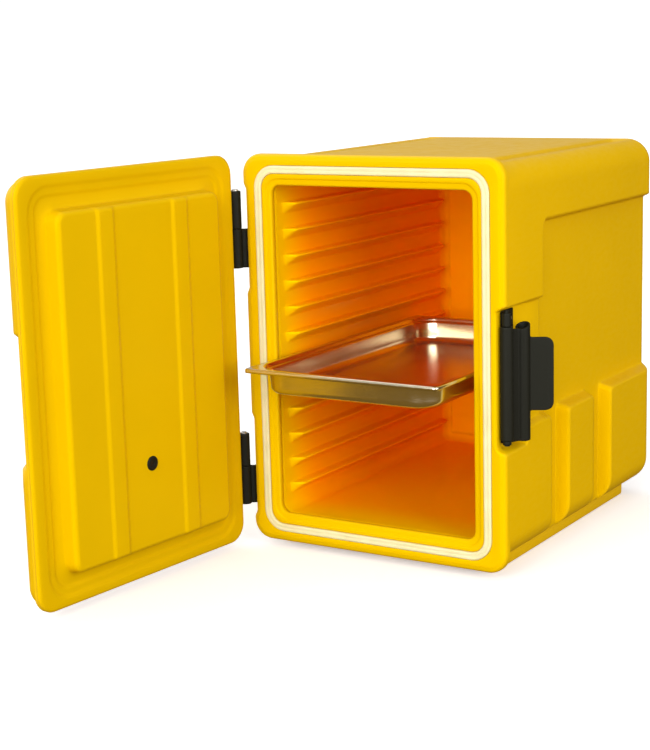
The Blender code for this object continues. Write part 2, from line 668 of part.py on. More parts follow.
def build_pan():
    """A gastronorm 1/1 pan: a drawn sheet with a flat rim and a turned-down lip."""
    rim = TOP_RUNNER - PAN_RUNNER * RUNNER_PITCH + GAP + 0.006
    y_mid = FRONT - PAN_OUT + PAN_LENGTH / 2
    lip, flange = 0.0058, 0.0115
    sections = [(0.0, lip, 0.014), (0.0, 0.0015, 0.014), (0.0015, 0.0, 0.0125)]
    sections += [(flange, 0.0, 0.036), (flange + 0.001, 0.0015, 0.036)]
    wall = flange + 0.004
    for i in range(5):
        turn = math.radians(90 * i / 4)
        sections.append((wall + 0.014 * (1 - math.cos(turn)),
                         PAN_DEPTH - 0.014 + 0.014 * math.sin(turn), 0.040 - 0.002 * i))
    shape = bmesh.new()
    rows = []
    for drawn, down, radius in sections:
        inset = 2 * drawn + PAN_SHEET
        outline = rounded(PAN_WIDTH - inset, PAN_LENGTH - inset, radius)
        rows.append([shape.verts.new((x, y_mid + y, rim - down)) for x, y in outline])
    for upper, lower in zip(rows, rows[1:]):
        for i, vertex in enumerate(upper):
            j = (i + 1) % len(upper)
            shape.faces.new((vertex, upper[j], lower[j], lower[i]))
    shape.faces.new(rows[-1])
    pan = smooth(object_from_bmesh("gn_pan", shape, "steel"))
    sheet = pan.modifiers.new("sheet", "SOLIDIFY")
    sheet.thickness = PAN_SHEET
    sheet.offset = 0.0
    return pan


# ---------------------------------------------------------------- assembly

def pivot(name, axis, angle):
    """An empty on an upright joint axis, turned from shut to the rest pose."""
    empty = bpy.data.objects.new(name, None)
    empty.location = (*axis, 0.0)
    empty.rotation_euler = (0, 0, angle)
    PARTS.objects.link(empty)
    return empty


def hang(holder, build):
    """Runs a build function, then hangs what it made, cutters too, on the pivot."""
    before = set(bpy.data.objects)
    build()
    closed = Matrix.Translation(-holder.location)
    for item in bpy.data.objects:
        if item not in before:
            item.parent = holder
            item.matrix_parent_inverse = closed


def build_door():
    outer, inner, foam = build_door_shells()
    build_vent(outer, inner, foam)
    for name, (low, split, high) in HINGES.items():
        build_door_leaf(name, low, split, high, outer)


def build_body():
    shell = build_outer_shell()
    build_insulation()
    build_inner_liner()
    build_runners()
    frame = build_front_frame()
    build_gasket()
    for name, (low, split, high) in HINGES.items():
        build_hinge(name, low, split, high, shell, frame)
    build_latch_base(shell)


build_body()
hang(pivot("door_pivot", HINGE_AXIS, -DOOR_OPEN), build_door)
hang(pivot("latch_pivot", LATCH_AXIS, LATCH_OPEN), build_latch_lever)
build_pan()
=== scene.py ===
"""The looks of the insulated food carrier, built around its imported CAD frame.

Lengths are in metres in the row frame: +X right, -Y front, +Z up, the floor at Z = 0.
The door is drawn shut and then turned to where the frame has it.
"""
import json
import math

import bmesh
import bpy
from mathutils import Matrix, Vector


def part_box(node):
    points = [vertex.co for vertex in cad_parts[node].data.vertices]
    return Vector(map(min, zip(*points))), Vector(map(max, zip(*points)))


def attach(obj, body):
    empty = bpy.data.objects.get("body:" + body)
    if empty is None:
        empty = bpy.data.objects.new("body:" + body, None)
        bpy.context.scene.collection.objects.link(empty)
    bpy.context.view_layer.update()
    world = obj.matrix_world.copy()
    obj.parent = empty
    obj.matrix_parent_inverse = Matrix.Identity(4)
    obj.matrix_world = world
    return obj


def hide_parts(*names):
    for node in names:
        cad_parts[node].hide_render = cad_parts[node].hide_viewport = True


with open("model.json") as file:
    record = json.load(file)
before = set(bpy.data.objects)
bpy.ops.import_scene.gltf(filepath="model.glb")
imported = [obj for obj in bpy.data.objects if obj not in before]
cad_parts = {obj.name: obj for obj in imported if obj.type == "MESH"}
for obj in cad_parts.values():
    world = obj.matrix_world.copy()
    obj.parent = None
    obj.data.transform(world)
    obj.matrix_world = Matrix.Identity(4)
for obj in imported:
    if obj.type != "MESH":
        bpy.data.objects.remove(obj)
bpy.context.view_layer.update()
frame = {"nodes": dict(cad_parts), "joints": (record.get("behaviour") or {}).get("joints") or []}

# ---------------------------------------------------------------- sizes, from the frame

SHELL_HIGH = Vector(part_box("outer_shell")[1])
FRAME_LOW, FRAME_HIGH = (Vector(corner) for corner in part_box("front_frame"))
LINER_LOW, LINER_HIGH = (Vector(corner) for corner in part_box("inner_liner"))
SEAL_LOW, SEAL_HIGH = (Vector(corner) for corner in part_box("door_gasket"))
PAN_LOW, PAN_HIGH = (Vector(corner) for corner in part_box("gn_pan"))
RUNNER_BOXES = [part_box(f"runner_right_{number}") for number in range(1, 13)]
JOINTS = {joint["name"]: joint for joint in frame["joints"]}

HALF_WIDTH = FRAME_HIGH.x
FRONT, FRAME_BACK, REAR = FRAME_LOW.y, FRAME_HIGH.y, SHELL_HIGH.y
FRAME_MID = (FRAME_LOW.z + FRAME_HIGH.z) / 2
FRAME_HEIGHT = FRAME_HIGH.z - FRAME_LOW.z
FRAME_RADIUS = 0.030
# Width, height and corner radius of the opening, and of the seal's outer edge
OPENING = (0.337, 0.508, 0.014)
SEAL = (SEAL_HIGH.x - SEAL_LOW.x, SEAL_HIGH.z - SEAL_LOW.z, 0.034)
SEAL_WIDTH = 0.012
GAP = 0.0003
CREASE = 0.0002                     # between two rings that hold an edge of the surface crisp

BODY_BOTTOM, BODY_TOP = FRAME_LOW.z + 0.015, SHELL_HIGH.z
BODY_RADIUS = 0.038
BODY_WALL = 0.0048
LINER_WALL = 0.0026
SKID_WIDTH, SKID_SPREAD = 0.024, 0.173
GROOVE_HALF, GROOVE_DEPTH, GROOVE_FLANK = 0.015, 0.0055, 0.008     # of the two along the top

CAVITY_WALL = 0.003                 # from the CAD liner's outer box to the cavity's surface
CAVITY_RADIUS = 0.016
RUNNER_FADE = 0.014                 # how far a runner's ends run out into the wall

# The sunk band of each side, as heights and distances from the front plane
RECESS_DEPTH = 0.020
BAND_LOW, BAND_HIGH = FRAME_LOW.z + 0.209, FRAME_LOW.z + 0.500
BLOCK_LOW, BLOCK_REAR = FRAME_LOW.z + 0.389, FRONT + 0.135
CHANNELS = ((FRONT + 0.165, FRONT + 0.220), (FRONT + 0.325, FRONT + 0.385))
LATCH_BAY = FRAME_LOW.z + 0.183
LATCH_BAY_REAR = FRONT + 0.075
LATCH_NOTCH = 0.0138
HINGE_BAYS = ((FRAME_LOW.z + 0.393, FRAME_LOW.z + 0.553),
              (FRAME_LOW.z + 0.039, FRAME_LOW.z + 0.197))
HINGE_BAY_DEPTH, HINGE_BAY_REAR = 0.0045, FRONT + 0.060

DOOR_FACE = FRONT - GAP             # the plane of the shut door's flange
DOOR_SPLIT = DOOR_FACE - 0.0052     # where the inner panel meets the outer shell
DOOR_FLANGE = 0.011
DOOR_THICKNESS = 0.0376
DOOR_PANEL_WALL, DOOR_SHELL_WALL = 0.0022, 0.0030
BULGE_INSET, BULGE_ROUNDING = 0.0052, 0.0215
DOOR_TURN = -95.0                   # from shut to where the frame has it, in degrees
LATCH_STEP = (FRAME_LOW.z + 0.212, FRAME_LOW.z + 0.384, 0.0137)     # low, high and depth
PLUG_HEIGHT, PLUG_ROUNDING = 0.0206, 0.0080
PLAY = 0.002                        # between the plug and the opening, and around the seal's seat
RIB_SPREAD, RIB_WIDTH, RIB_HEIGHT = 0.076, 0.031, 0.0024
VENT = (0.006, FRAME_LOW.z + 0.175)
BORE_RADIUS = 0.0038                # of the hinges' and the latch's knuckles
GRIP_SLANT = 0.009                  # how far the lever's top falls from back to front
CELL = 0.0008                       # of the remesh that rounds the fittings' edges
PAN_SHEET = 0.0008


# ---------------------------------------------------------------- curves and masks

def blend(t):
    """Smooth step from 0 to 1."""
    t = min(max(t, 0.0), 1.0)
    return t * t * (3 - 2 * t)


def box_distance(point, low, high, radius=0.0):
    """Signed distance from a rounded rectangle, negative inside."""
    spans = []
    for value, a, b in zip(point, low, high):
        spans.append(abs(value - (a + b) / 2) - (b - a) / 2 + radius)
    outside = math.hypot(max(spans[0], 0.0), max(spans[1], 0.0))
    return outside + min(max(spans), 0.0) - radius


def soft_min(a, b, width):
    """The smaller of two numbers, rounded off where they meet."""
    share = max(width - abs(a - b), 0.0) / width
    return min(a, b) - share * share * width / 4


def sunk(distance, depth, width):
    """Depth of a pocket at a distance from its edge; its flank is as wide as given."""
    return depth * blend(0.5 - distance / width)


def stations(low, high, marks, fine=0.0016, coarse=0.012, reach=0.008):
    """Places from low to high, close together near the marks."""
    places = [low]
    while places[-1] < high - 1e-6:
        here = places[-1]
        near = min((abs(here - mark) for mark in marks), default=1.0)
        step = fine if near < reach else min(coarse, max(fine, near - reach + fine))
        places.append(min(here + step, high))
    if places[-1] - places[-2] < fine / 3:
        del places[-2]
    return places


def corner(centre, radius, start, steps):
    """The inner points of a quarter arc; the angle is in degrees."""
    turns = [math.radians(start + 90 * i / steps) for i in range(1, steps)]
    return [(centre[0] + radius * math.cos(t), centre[1] + radius * math.sin(t)) for t in turns]


def outline(width, height, radius, across=(-1, 1), upward=(-1, 1), steps=10):
    """A rounded rectangle about the origin, anticlockwise from the foot of its right side.

    across and upward place the points of the straight stretches, from -1 to 1.
    """
    x, y = width / 2 - radius, height / 2 - radius
    points = [(width / 2, y * t) for t in upward]
    points += corner((x, y), radius, 0, steps)
    points += [(x * t, height / 2) for t in reversed(across)]
    points += corner((-x, y), radius, 90, steps)
    points += [(-width / 2, y * t) for t in reversed(upward)]
    points += corner((-x, -y), radius, 180, steps)
    points += [(x * t, -height / 2) for t in across]
    return points + corner((x, -y), radius, 270, steps)


def shares(places):
    """Places on a stretch as shares from -1 to 1."""
    low, high = places[0], places[-1]
    return [2 * (place - low) / (high - low) - 1 for place in places]


# ---------------------------------------------------------------- meshes

def add(name, shape, material, body):
    """A finished piece from a bmesh, on its body."""
    bmesh.ops.recalc_face_normals(shape, faces=shape.faces)
    mesh = bpy.data.meshes.new(name)
    shape.to_mesh(mesh)
    shape.free()
    mesh.materials.append(material)
    mesh.shade_smooth()
    piece = bpy.data.objects.new(name, mesh)
    bpy.context.scene.collection.objects.link(piece)
    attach(piece, body)
    return piece


def loft(rings, start=False, end=False, shape=None):
    """Quads between rings of equally many points; start and end close the first and the last."""
    shape = shape or bmesh.new()
    rows = [[shape.verts.new(point) for point in ring] for ring in rings]
    for lower, upper in zip(rows, rows[1:]):
        for i, vertex in enumerate(lower):
            j = (i + 1) % len(lower)
            shape.faces.new((vertex, lower[j], upper[j], upper[i]))
    if start:
        shape.faces.new(rows[0][::-1])
    if end:
        shape.faces.new(rows[-1])
    return shape


def turned(profile, start, axis, sides=48):
    """A closed profile of (distance along the axis, radius), turned about the axis."""
    turn = Vector((0, 0, 1)).rotation_difference(Vector(axis)).to_matrix()
    rings = []
    for along, radius in profile:
        ring = [Vector((radius * math.cos(math.tau * i / sides),
                        radius * math.sin(math.tau * i / sides), along)) for i in range(sides)]
        rings.append([Vector(start) + turn @ point for point in ring])
    return loft(rings, start=True, end=True)


def thicken(piece, thickness, offset=-1.0):
    """Gives a surface its wall: inward by default, outward at 1, to both sides at 0."""
    sheet = piece.modifiers.new("wall", "SOLIDIFY")
    sheet.thickness = thickness
    sheet.offset = offset


def turn_of(joint, degrees):
    """The matrix of a turn about an upright joint."""
    pivot = Matrix.Translation(Vector(JOINTS[joint]["pos_m"]))
    return pivot @ Matrix.Rotation(math.radians(degrees), 4, "Z") @ pivot.inverted()


# ---------------------------------------------------------------- materials

def nodes_of(name):
    """A new material, its node tree and its shader."""
    material = bpy.data.materials.new(name)
    material.use_nodes = True
    tree = material.node_tree
    return material, tree, tree.nodes["Principled BSDF"]


def noise(tree, scale, detail=3.0, stretch=(1, 1, 1)):
    """Noise in the object's own space, stretched when asked."""
    place = tree.nodes.new("ShaderNodeTexCoord")
    mapping = tree.nodes.new("ShaderNodeMapping")
    mapping.inputs["Scale"].default_value = stretch
    texture = tree.nodes.new("ShaderNodeTexNoise")
    texture.inputs["Scale"].default_value = scale
    texture.inputs["Detail"].default_value = detail
    tree.links.new(place.outputs["Object"], mapping.inputs["Vector"])
    tree.links.new(mapping.outputs["Vector"], texture.inputs["Vector"])
    return texture.outputs["Fac"]


def ramp(tree, source, stops):
    """A colour ramp; each stop is a place and a colour or a grey value."""
    node = tree.nodes.new("ShaderNodeValToRGB")
    while len(node.color_ramp.elements) < len(stops):
        node.color_ramp.elements.new(1.0)
    for element, (place, value) in zip(node.color_ramp.elements, stops):
        element.position = place
        element.color = (*value, 1.0) if isinstance(value, tuple) else (value, value, value, 1.0)
    tree.links.new(source, node.inputs["Fac"])
    return node.outputs["Color"]


def mixed(tree, share, first, second):
    """A blend of two colours; each input is a socket or a value."""
    node = tree.nodes.new("ShaderNodeMix")
    node.data_type = "RGBA"
    for number, value in ((0, share), (6, first), (7, second)):
        socket = node.inputs[number]
        if isinstance(value, bpy.types.NodeSocket):
            tree.links.new(value, socket)
        else:
            socket.default_value = value
    return node.outputs[2]


def bumps(tree, shader, layers):
    """Chains height layers, each (source, strength, distance), into the shader's normal."""
    normal = None
    for source, strength, distance in layers:
        node = tree.nodes.new("ShaderNodeBump")
        node.inputs["Strength"].default_value = strength
        node.inputs["Distance"].default_value = distance
        tree.links.new(source, node.inputs["Height"])
        if normal:
            tree.links.new(normal, node.inputs["Normal"])
        normal = node.outputs["Normal"]
    tree.links.new(normal, shader.inputs["Normal"])


def inward(tree, reach):
    """0 at the cavity's mouth and 1 inside, the share of the painted cavity shade; reach is where
    it starts and ends behind the front.
    """
    place = tree.nodes.new("ShaderNodeSeparateXYZ")
    tree.links.new(tree.nodes.new("ShaderNodeTexCoord").outputs["Object"], place.inputs[0])
    share = tree.nodes.new("ShaderNodeMapRange")
    share.interpolation_type = "SMOOTHSTEP"
    share.inputs["From Min"].default_value = FRONT + reach[0]
    share.inputs["From Max"].default_value = FRONT + reach[1]
    tree.links.new(place.outputs["Y"], share.inputs["Value"])
    return share.outputs["Result"]


def moulded(name, colour, roughness, tint=(1, 1, 1), specular=0.5, grain=0.35, wear=0.0,
            painted_cavity_shade=None):
    """Satin moulded plastic: fine grain, slow waviness, a little scuffing and paler edges.

    The second colour given for the cavity is blended in further inside it: painted shade, a
    darker, redder orange where the cavity's own shade falls.
    """
    material, tree, shader = nodes_of(name)
    shader.inputs["IOR"].default_value = 1.5
    shader.inputs["Specular IOR Level"].default_value = specular
    shader.inputs["Specular Tint"].default_value = (*tint, 1.0)
    tone = ramp(tree, noise(tree, 9.0), [(0.30, tuple(c * 0.965 for c in colour)), (0.70, colour)])
    pale = tuple(c + (1.0 - c) * wear for c in colour)
    edges = tree.nodes.new("ShaderNodeNewGeometry").outputs["Pointiness"]
    worn_and_painted_shade = mixed(tree, ramp(tree, edges, [(0.52, 0.0), (0.60, 1.0)]), tone, (*pale, 1.0))
    # Painted shade: further inside the cavity the colour turns to a darker, redder orange.
    if painted_cavity_shade:
        worn_and_painted_shade = mixed(tree, inward(tree, (0.010, 0.125)), worn_and_painted_shade, (*painted_cavity_shade, 1.0))
    tree.links.new(worn_and_painted_shade, shader.inputs["Base Color"])
    scuffs = noise(tree, 60.0, 6.0, (1, 1, 2.5))
    tree.links.new(ramp(tree, scuffs, [(0.35, roughness - 0.05), (0.70, roughness + 0.07)]),
                   shader.inputs["Roughness"])
    bumps(tree, shader, [(noise(tree, 14.0, 1.0), 0.20, 0.0010),
                         (noise(tree, 1500.0, 2.0), grain, 0.0001)])
    return material


def seal_rubber():
    """Cream silicone: soft, faintly translucent, with a little dust in its pores."""
    material, tree, shader = nodes_of("silicone_seal")
    shader.inputs["IOR"].default_value = 1.42
    shader.inputs["Subsurface Weight"].default_value = 0.15
    shader.inputs["Subsurface Scale"].default_value = 0.003
    tone = ramp(tree, noise(tree, 35.0), [(0.3, (0.69, 0.625, 0.34)), (0.7, (0.75, 0.685, 0.40))])
    tree.links.new(tone, shader.inputs["Base Color"])
    tree.links.new(ramp(tree, noise(tree, 220.0), [(0.3, 0.42), (0.7, 0.56)]),
                   shader.inputs["Roughness"])
    bumps(tree, shader, [(noise(tree, 900.0), 0.25, 0.0002)])
    return material


def steel(name, colour, roughness, stretch):
    """Stainless steel with fine streaks along one direction."""
    material, tree, shader = nodes_of(name)
    shader.inputs["Metallic"].default_value = 1.0
    lines = noise(tree, 300.0, 4.0, stretch)
    tone = ramp(tree, noise(tree, 22.0), [(0.3, tuple(c * 0.93 for c in colour)), (0.7, colour)])
    tree.links.new(tone, shader.inputs["Base Color"])
    tree.links.new(ramp(tree, lines, [(0.25, roughness - 0.05), (0.75, roughness + 0.07)]),
                   shader.inputs["Roughness"])
    bumps(tree, shader, [(lines, 0.12, 0.0001), (noise(tree, 18.0, 1.0), 0.15, 0.0004)])
    return material


def foam():
    """Closed-cell foam for the insulation inside the walls."""
    material, tree, shader = nodes_of("insulation_foam")
    shader.inputs["Roughness"].default_value = 0.9
    cells = tree.nodes.new("ShaderNodeTexVoronoi")
    cells.inputs["Scale"].default_value = 500.0
    place = tree.nodes.new("ShaderNodeTexCoord")
    tree.links.new(place.outputs["Object"], cells.inputs["Vector"])
    tone = ramp(tree, cells.outputs["Distance"], [(0.0, (0.70, 0.62, 0.40)),
                                                  (0.6, (0.86, 0.80, 0.60))])
    tree.links.new(tone, shader.inputs["Base Color"])
    bumps(tree, shader, [(cells.outputs["Distance"], 0.6, 0.0004)])
    return material


SHEEN = (1.0, 0.55, 0.0)            # the tint of the yellow plastic's gloss
SHELL_YELLOW = moulded("shell_plastic", (0.75, 0.445, 0.0), 0.44, SHEEN, wear=0.01)
FRAME_YELLOW = moulded("frame_plastic", (0.72, 0.440, 0.0), 0.42, SHEEN, wear=0.01)
# The liner is painted lighter yellow at the mouth and a darker, redder orange further inside:
# painted light and shade of the cavity.
LINER_YELLOW = moulded("liner_plastic", (0.90, 0.56, 0.0), 0.42, SHEEN, painted_cavity_shade=(0.965, 0.365, 0.0))
BLACK = moulded("black_polyamide", (0.010, 0.010, 0.006), 0.50, specular=0.12, grain=0.6,
                wear=0.005)
SEAL_CREAM = seal_rubber()
# The pan's steel is tinted warm: a painted reflection of the orange cavity around it; the steel
# itself is neutral.
PAN_STEEL_PAINTED_WARM = steel("pan_steel", (0.69, 0.60, 0.43), 0.20, (1, 12, 1))
SCREW_STEEL = steel("fastener_steel", (0.60, 0.59, 0.57), 0.30, (1, 1, 1))
FOAM = foam()


# ---------------------------------------------------------------- carcass

def side_depth(side, y, z):
    """How far the side's surface is sunk below the full width; side is -1 or 1."""
    band = box_distance((y, z), (BLOCK_REAR, BAND_LOW), (REAR + 0.1, BAND_HIGH), 0.010)
    for low, high in CHANNELS:
        channel = box_distance((y, z), (low, -0.1), (high, BAND_LOW + 0.02), 0.004)
        band = soft_min(band, channel, 0.010)
    depth = sunk(band, RECESS_DEPTH, 0.010)
    slope = RECESS_DEPTH - 0.010 * blend((y - FRONT - 0.050) / 0.070)     # shallower to the rear
    front = box_distance((y, z), (FRONT - 0.1, BAND_LOW), (BLOCK_REAR + 0.010, BLOCK_LOW), 0.010)
    depth = max(depth, sunk(front, slope, 0.008))
    if side > 0:
        bay = box_distance((y, z), (FRONT - 0.1, LATCH_BAY), (LATCH_BAY_REAR, BLOCK_LOW), 0.008)
        depth = max(depth, sunk(bay, slope, 0.008))
    else:
        for low, high in HINGE_BAYS:
            bay = box_distance((y, z), (FRONT - 0.1, low), (HINGE_BAY_REAR, high), 0.008)
            depth = max(depth, sunk(bay, HINGE_BAY_DEPTH, 0.006))
    return depth


def top_depth(x, y):
    """The two shallow grooves along the top."""
    depth = 0.0
    for side in (-1, 1):
        low = (side * SKID_SPREAD - GROOVE_HALF, FRONT + 0.030)
        high = (side * SKID_SPREAD + GROOVE_HALF, REAR - 0.045)
        groove = box_distance((x, y), low, high, 0.012)
        depth = max(depth, sunk(groove, GROOVE_DEPTH, GROOVE_FLANK))
    return depth


def build_carcass():
    """The outer skin, swept from the front frame back over the rounded rear edges."""
    middle = (BODY_BOTTOM + BODY_TOP) / 2
    height = BODY_TOP - BODY_BOTTOM
    z_marks = [LATCH_BAY, BAND_LOW, BLOCK_LOW, BAND_HIGH] + [z for bay in HINGE_BAYS for z in bay]
    x_marks = [side * SKID_SPREAD + half
               for side in (-1, 1) for half in (-GROOVE_HALF, GROOVE_HALF)]
    y_marks = [HINGE_BAY_REAR, LATCH_BAY_REAR, BLOCK_REAR] + [y for pair in CHANNELS for y in pair]
    upward = shares(stations(BODY_BOTTOM + BODY_RADIUS, BODY_TOP - BODY_RADIUS, z_marks))
    across = shares(stations(BODY_RADIUS - HALF_WIDTH, HALF_WIDTH - BODY_RADIUS, x_marks,
                             0.0018, 0.030, 0.006))
    sections = [(y, 0.0) for y in [FRAME_BACK, FRAME_BACK + CREASE]
                + stations(FRAME_BACK + 0.002, REAR - BODY_RADIUS, y_marks)]
    for i in range(1, 12):
        turn = math.radians(90 * i / 12)
        sections.append((REAR - BODY_RADIUS * (1 - math.sin(turn)),
                         BODY_RADIUS * (1 - math.cos(turn))))
    rings = []
    for y, drawn in sections:
        ring = []
        for x, z in outline(2 * (HALF_WIDTH - drawn), height - 2 * drawn, BODY_RADIUS - drawn,
                            across, upward, 12):
            z += middle
            side = math.copysign(1.0, x)
            limit = HALF_WIDTH - side_depth(side, y, z)
            if limit < HALF_WIDTH:
                x = side * soft_min(abs(x), limit, 0.003) if abs(x) > limit - 0.003 else x
            if z > BODY_TOP - 0.002:
                z -= top_depth(x, y)
            ring.append((x, y, z))
        rings.append(ring)
    inner = [(x * 0.98, REAR, middle + (z - middle) * 0.98) for x, y, z in rings[-1]]
    edge = [(x, REAR, z) for x, y, z in rings[-1]]
    piece = add("carrier_shell", loft(rings + [edge, inner], end=True), SHELL_YELLOW, "carrier")
    thicken(piece, BODY_WALL)
    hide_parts("outer_shell")


def build_skids():
    """Three bars under the body, with rounded edges and ends."""
    shape = bmesh.new()
    length = REAR - FRONT - 0.075
    middle = (FRONT + REAR - 0.015) / 2
    for x in (-SKID_SPREAD, 0.0, SKID_SPREAD):
        sections = [(BODY_BOTTOM + 0.004, 0.0), (0.004, 0.0005), (0.0015, 0.0012),
                    (0.0003, 0.0030), (0.0, 0.0050)]
        loft([[(x + a, middle + b, z)
               for a, b in outline(SKID_WIDTH - 2 * d, length - 2 * d, 0.0105 - d)]
              for z, d in sections], start=True, end=True, shape=shape)
    piece = add("carrier_skids", shape, SHELL_YELLOW, "carrier")


# ---------------------------------------------------------------- cavity

def ledge_profile(box):
    """One runner from its foot up, as (height, reach from the wall), with soft corners."""
    low, high = box[0][2], box[1][2]
    reach = LINER_HIGH.x - CAVITY_WALL - box[0][0]
    return [(low - 0.0020, 0.0), (low + 0.0004, 0.0006), (low + 0.0025, 0.0030),
            (high - 0.0050, reach - 0.0032), (high - 0.0036, reach - 0.0010),
            (high - 0.0024, reach), (high - 0.0010, reach - 0.0003),
            (high - 0.0002, reach - 0.0014), (high, reach - 0.0034), (high, 0.0034),
            (high + 0.0005, 0.0014), (high + 0.0018, 0.0004), (high + 0.0036, 0.0)]


def build_liner():
    """The cavity's skin in one piece, with the runners moulded into both walls."""
    half = LINER_HIGH.x - CAVITY_WALL
    low, high = LINER_LOW.z + CAVITY_WALL, LINER_HIGH.z - CAVITY_WALL
    rear, radius = LINER_HIGH.y - CAVITY_WALL, CAVITY_RADIUS
    starts, ends = RUNNER_BOXES[0][0][1], RUNNER_BOXES[0][1][1]
    side = [(low + radius, 0.0)]
    for box in reversed(RUNNER_BOXES):
        side += ledge_profile(box)
    side.append((high - radius, 0.0))
    across = [-1 + 0.25 * i for i in range(9)]
    fade, steps = RUNNER_FADE, 8
    sections = [(y, 0.0) for y in [FRAME_BACK + GAP, FRAME_BACK + 0.010]]
    sections += [(starts + fade * i / 8, 0.0) for i in range(9)]
    sections += [(starts + fade + (ends - starts - 2 * fade) * i / 12, 0.0) for i in range(1, 12)]
    sections += [(ends - fade + fade * i / 8, 0.0) for i in range(9)]
    for i in range(1, 9):
        turn = math.radians(90 * i / 9)
        sections.append((rear - radius * (1 - math.sin(turn)), radius * (1 - math.cos(turn))))
    middle, height = (low + high) / 2, high - low
    upward = [2 * (z - low - radius) / (height - 2 * radius) - 1 for z, _ in side]
    count = len(side)
    left_start = count + len(across) + 2 * (steps - 1)
    rings = []
    for y, drawn in sections:
        share = blend((y - starts) / fade) * blend((ends - y) / fade)
        ring = []
        for i, (x, z) in enumerate(outline(2 * (half - drawn), height - 2 * drawn, radius - drawn,
                                           across, upward, steps)):
            if i < count:
                x -= side[i][1] * share
            elif left_start <= i < left_start + count:
                x += side[count - 1 - (i - left_start)][1] * share
            ring.append((x, y, z + middle))
        rings.append(ring)
    edge = [(x, rear, z) for x, y, z in rings[-1]]
    inner = [(x * 0.98, rear, middle + (z - middle) * 0.98) for x, y, z in edge]
    piece = add("cavity_liner", loft(rings + [edge, inner], end=True), LINER_YELLOW, "carrier")
    thicken(piece, LINER_WALL, 1.0)
    runners = [node for node in frame["nodes"] if node.startswith("runner_")]
    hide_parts("inner_liner", *runners)


# ---------------------------------------------------------------- front frame and seal

def build_frame():
    """The face that the door shuts on: edge, seal groove, stepped inner rim and opening."""
    seal_w, seal_h, seal_r = SEAL
    width, height = 2 * HALF_WIDTH, FRAME_HEIGHT
    z_marks = [LATCH_BAY, BLOCK_LOW] + [z for bay in HINGE_BAYS for z in bay]
    upward = shares(stations(FRAME_LOW.z + FRAME_RADIUS, FRAME_HIGH.z - FRAME_RADIUS, z_marks))
    across = [-1 + 0.2 * i for i in range(11)]

    def outer(drawn, y):
        return (width - 2 * drawn, height - 2 * drawn, FRAME_RADIUS - drawn, y)

    def seal(drawn, y):
        return (seal_w - 2 * drawn, seal_h - 2 * drawn, seal_r - drawn, y)

    def opening(grown, y):
        w, h, r = OPENING
        return (w + 2 * grown, h + 2 * grown, r + grown, y)

    face, groove = FRONT, FRONT + 0.0050
    sections = [outer(0.0, FRAME_BACK), outer(0.0, FRAME_BACK - CREASE), outer(0.0, face + 0.0080),
                outer(0.0005, face + 0.0054), outer(0.0016, face + 0.0032),
                outer(0.0032, face + 0.0017), outer(0.0052, face + 0.0009),
                outer(0.0074, face + 0.0007), outer(0.0082, face + 0.0002),
                outer(0.0090, face), outer(0.0120, face),
                seal(-0.0022, face), seal(-0.0008, face + 0.0003), seal(-0.0003, face + 0.0012),
                seal(-0.0003, groove), seal(SEAL_WIDTH + 0.0003, groove),
                seal(SEAL_WIDTH + 0.0003, face + 0.0012), seal(SEAL_WIDTH + 0.0008, face + 0.0003),
                seal(SEAL_WIDTH + 0.0020, face),
                opening(0.0120, face), opening(0.0108, face + 0.0004),
                opening(0.0098, face + 0.0014), opening(0.0086, face + 0.0018),
                opening(0.0040, face + 0.0019),
                opening(0.0018, face + 0.0024), opening(0.0005, face + 0.0038),
                opening(0.0, face + 0.0060), opening(0.0004, face + 0.0100),
                opening(0.0022, FRAME_BACK), opening(0.0060, FRAME_BACK)]
    edge_land = HALF_WIDTH - seal_w / 2 - 0.002     # the strip that gives way to latch and hinges
    rings = []
    for w, h, r, y in sections:
        ring = []
        for x, z in outline(w, h, r, across, upward, 12):
            z += FRAME_MID
            over = abs(x) - (HALF_WIDTH - edge_land)
            if over > 0:
                if x > 0:
                    bay = box_distance((0.0, z), (-0.1, LATCH_BAY), (0.1, BLOCK_LOW))
                    cut = sunk(bay, LATCH_NOTCH, 0.010)
                else:
                    cut = max(sunk(box_distance((0.0, z), (-0.1, low), (0.1, high)),
                                   HINGE_BAY_DEPTH, 0.012) for low, high in HINGE_BAYS)
                x = math.copysign(HALF_WIDTH - edge_land + over * (1 - cut / edge_land), x)
            ring.append((x, y, z))
        rings.append(ring)
    shape = loft(rings)
    rows = list(shape.verts)
    count = len(rings[0])
    first, last = rows[:count], rows[-count:]
    for i in range(count):
        j = (i + 1) % count
        shape.faces.new((first[i], last[i], last[j], first[j]))
    piece = add("front_frame_face", shape, FRAME_YELLOW, "carrier")
    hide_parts("front_frame")


def build_seal():
    """The silicone seal: a softly crowned band with a fine lip line."""
    w, h, r = SEAL
    top, foot = SEAL_LOW.y, SEAL_HIGH.y
    profile = [(0.0, foot), (0.0, top + 0.0016), (0.0004, top + 0.0008), (0.0014, top + 0.0002),
               (0.0030, top), (0.0052, top + 0.0003), (0.0060, top + 0.0006),
               (0.0068, top + 0.0003), (0.0090, top), (0.0106, top + 0.0002),
               (0.0116, top + 0.0008), (SEAL_WIDTH, top + 0.0016), (SEAL_WIDTH, foot)]
    across = [-1 + 0.2 * i for i in range(11)]
    rings = [[(x, y, FRAME_MID + z)
              for x, z in outline(w - 2 * d, h - 2 * d, r - d, across, across, 14)]
             for d, y in profile]
    piece = add("door_seal", loft(rings + [rings[0]]), SEAL_CREAM, "carrier")
    weld = piece.modifiers.new("weld", "WELD")
    weld.merge_threshold = 1e-6
    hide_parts("door_gasket")


# ---------------------------------------------------------------- door

def door_piece(name, shape, material, node):
    """A piece drawn on the shut door, turned open, in the place of a CAD node."""
    bmesh.ops.transform(shape, matrix=turn_of("door_hinge", DOOR_TURN), verts=shape.verts)
    piece = add(name, shape, material, "door")
    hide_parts(node)
    return piece


def rib_height(x):
    """The two upright ribs of the inner panel, which run from edge to edge of the plug."""
    edge = abs(abs(x) - RIB_SPREAD) - RIB_WIDTH / 2
    return sunk(edge, RIB_HEIGHT, 0.0085)


